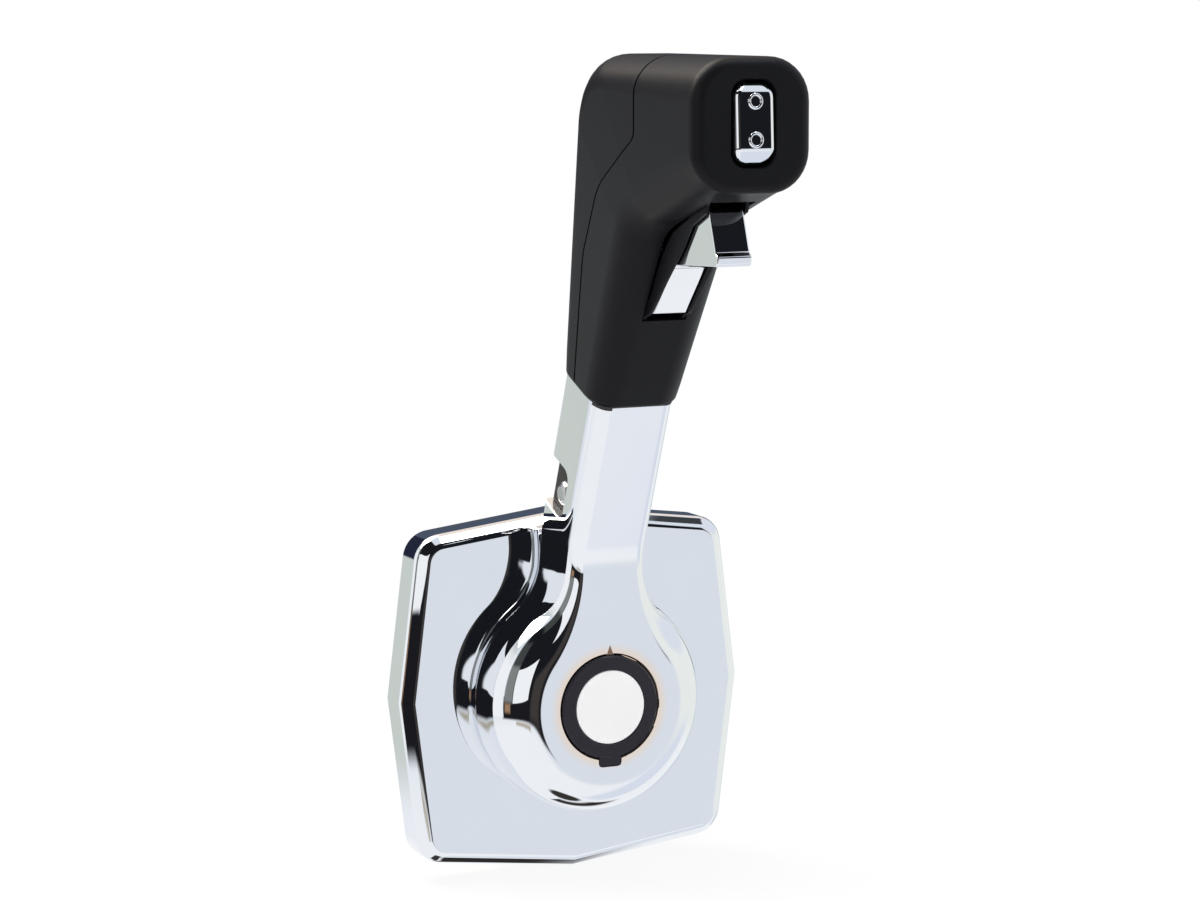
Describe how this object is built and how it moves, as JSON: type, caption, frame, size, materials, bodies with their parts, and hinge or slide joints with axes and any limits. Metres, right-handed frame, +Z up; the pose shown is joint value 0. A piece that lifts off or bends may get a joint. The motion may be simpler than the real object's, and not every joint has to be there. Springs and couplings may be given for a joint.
{
  "type": "boat throttle control lever",
  "caption": "Side-mount electronic throttle and shift lever: chromed bent arm on a square bevelled plate, black grip with trim rocker, neutral lock trigger and hub push button.",
  "frame": {"origin": "where the lever's pivot axis crosses the panel face that the gasket seals on; it is also the centre of the four mounting holes", "axes": "+Y runs along the pivot axis into the panel, -Y towards the operator; +Z up with the lever in neutral; +X to the operator's right"},
  "size_m": [0.13, 0.2141, 0.2876],
  "materials": {
    "chrome": "polished",
    "grip_black": "matte",
    "button_black": "satin",
    "disc_silver": "brushed",
    "rubber_black": "matte",
    "housing_black": "matte",
    "cast_aluminium": "cast",
    "plain_steel": "machined",
    "zinc_steel": "zinc plated",
    "spring_steel": "drawn",
    "bush_bronze": "machined",
    "acetal_white": "satin",
    "board_green": "gloss",
    "magnet_grey": "sintered",
    "pin_gold": "plated"
  },
  "bodies": {
    "base": {"bezel_plate": "chrome", "panel_gasket": "rubber_black", "chassis_plate": "cast_aluminium", "chassis_screws": "zinc_steel", "housing_body": "housing_black", "housing_cover": "housing_black", "cover_screws": "zinc_steel", "connector_socket": "housing_black", "socket_pins": "pin_gold", "bearing_bridge": "cast_aluminium", "sensor_board": "board_green", "board_screws": "zinc_steel", "stem_switch": "housing_black", "shaft_seal": "rubber_black", "shaft_bush_front": "bush_bronze", "shaft_bush_rear": "bush_bronze", "detent_plunger": "plain_steel", "detent_spring": "spring_steel", "detent_cap": "zinc_steel", "friction_shoe": "bush_bronze", "friction_spring": "spring_steel", "friction_screw": "zinc_steel", "lock_ring": "plain_steel", "lock_screws": "zinc_steel"},
    "lever": {"main_shaft": "plain_steel", "shaft_key": "plain_steel", "shaft_clip": "plain_steel", "detent_wheel": "plain_steel", "friction_drum": "plain_steel", "drive_gear": "acetal_white", "lever_arm": "chrome", "hub_cover": "cast_aluminium", "hub_washer": "plain_steel", "hub_nut": "plain_steel", "side_liner_left": "rubber_black", "side_liner_right": "rubber_black", "cross_bolt": "plain_steel", "cross_nut": "plain_steel", "grip_core": "cast_aluminium", "grip_collar": "rubber_black", "grip_front_shell": "grip_black", "grip_rear_shell": "grip_black", "grip_screws": "zinc_steel", "trigger_spring": "spring_steel", "spring_seat": "housing_black", "switch_frame": "housing_black", "rocker_pin": "plain_steel", "button_spring": "spring_steel"},
    "trigger": {"interlock_trigger": "chrome", "trigger_carriage": "acetal_white", "interlock_rod": "plain_steel", "interlock_pin": "plain_steel"},
    "rocker": {"trim_rocker": "chrome"},
    "button": {"button_ring": "button_black", "button_disc": "disc_silver", "button_stem": "plain_steel"},
    "sensor_upper": {"sensor_gear_upper": "acetal_white", "sensor_magnet_upper": "magnet_grey"},
    "sensor_lower": {"sensor_gear_lower": "acetal_white", "sensor_magnet_lower": "magnet_grey"}
  },
  "joints": [
    {"name": "lever_swing", "type": "hinge", "parent": "base", "child": "lever", "pos_m": [0, 0, 0], "axis": [0, 1, 0], "range_deg": [-75, 90]},
    {"name": "trigger_lift", "type": "slide", "parent": "lever", "child": "trigger", "axis": [0, -0.3746, 0.9272], "range_m": [0, 0.006], "stiffness_N_per_m": 800, "springref_m": -0.005, "deforming": ["trigger_spring"]},
    {"name": "trim_rock", "type": "hinge", "parent": "lever", "child": "rocker", "pos_m": [0, -0.145, 0.2033], "axis": [1, 0, 0], "range_deg": [-8, 8], "stiffness_Nm_per_rad": 0.25},
    {"name": "button_push", "type": "slide", "parent": "lever", "child": "button", "axis": [0, 1, 0], "range_m": [0, 0.004], "stiffness_N_per_m": 1000, "springref_m": -0.004, "deforming": ["button_spring"]},
    {"name": "sensor_upper_spin", "type": "hinge", "parent": "base", "child": "sensor_upper", "pos_m": [0, 0.0223, 0.03], "axis": [0, 1, 0], "range_deg": [-185, 155]},
    {"name": "sensor_lower_spin", "type": "hinge", "parent": "base", "child": "sensor_lower", "pos_m": [0, 0.0223, -0.03], "axis": [0, 1, 0], "range_deg": [-185, 155]}
  ],
  "couplings": [
    {"joint": "sensor_upper_spin", "follows": "lever_swing", "ratio": -2},
    {"joint": "sensor_lower_spin", "follows": "lever_swing", "ratio": -2}
  ]
}
